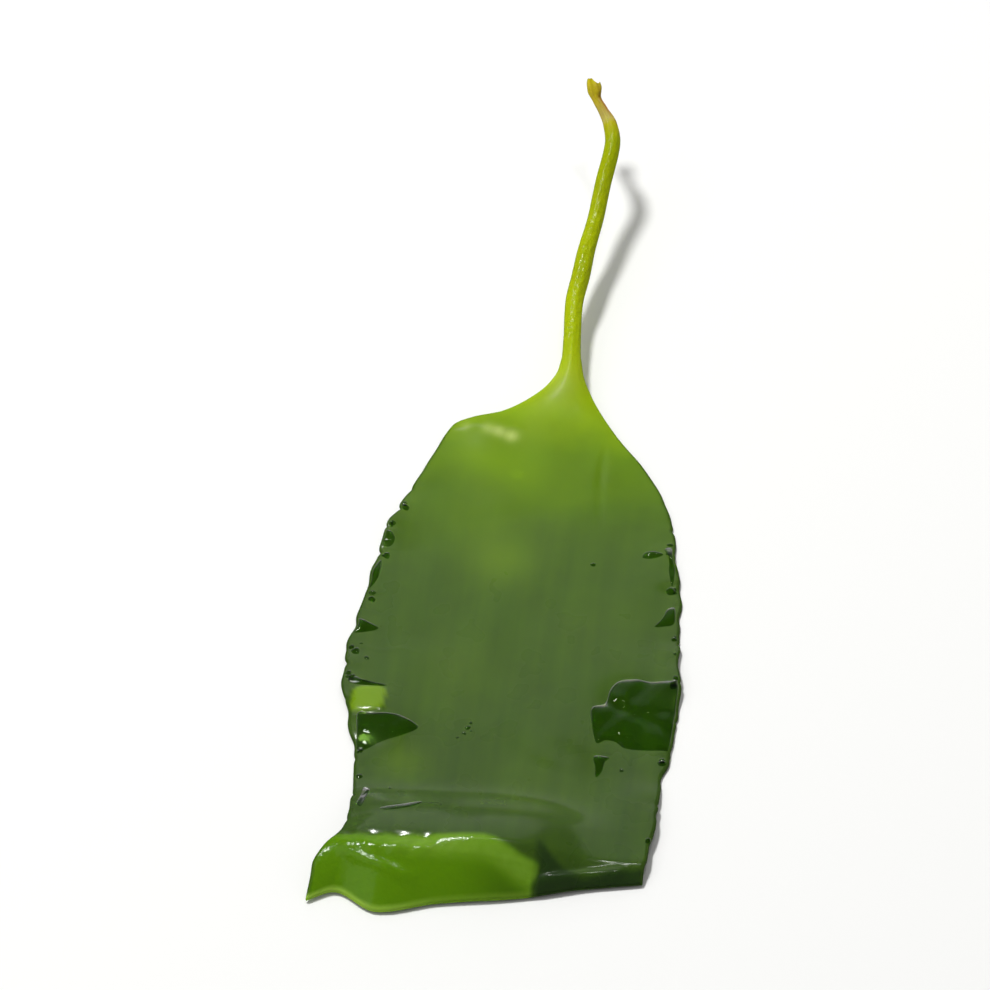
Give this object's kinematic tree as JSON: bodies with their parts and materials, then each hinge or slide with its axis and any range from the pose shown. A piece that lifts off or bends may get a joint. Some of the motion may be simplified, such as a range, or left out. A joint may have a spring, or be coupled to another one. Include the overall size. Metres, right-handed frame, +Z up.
{
  "type": "kelp sprout",
  "caption": "Young kelp plant, soaked: a thin round stipe with a torn end widens into one flat, waved blade whose far end curls over; it lies on a surface as food or a prop.",
  "frame": {"origin": "middle of the sprout's footprint, on the surface it lies on", "axes": "+Y from the blade's curled far end to the stipe's torn end, +Z up, +X to the right margin seen from above with the stipe away"},
  "size_m": [0.0592, 0.1862, 0.0203],
  "materials": {
    "wet_kelp": "gloss"
  },
  "bodies": {
    "root": {"kelp_sprout": "wet_kelp"}
  },
  "joints": []
}
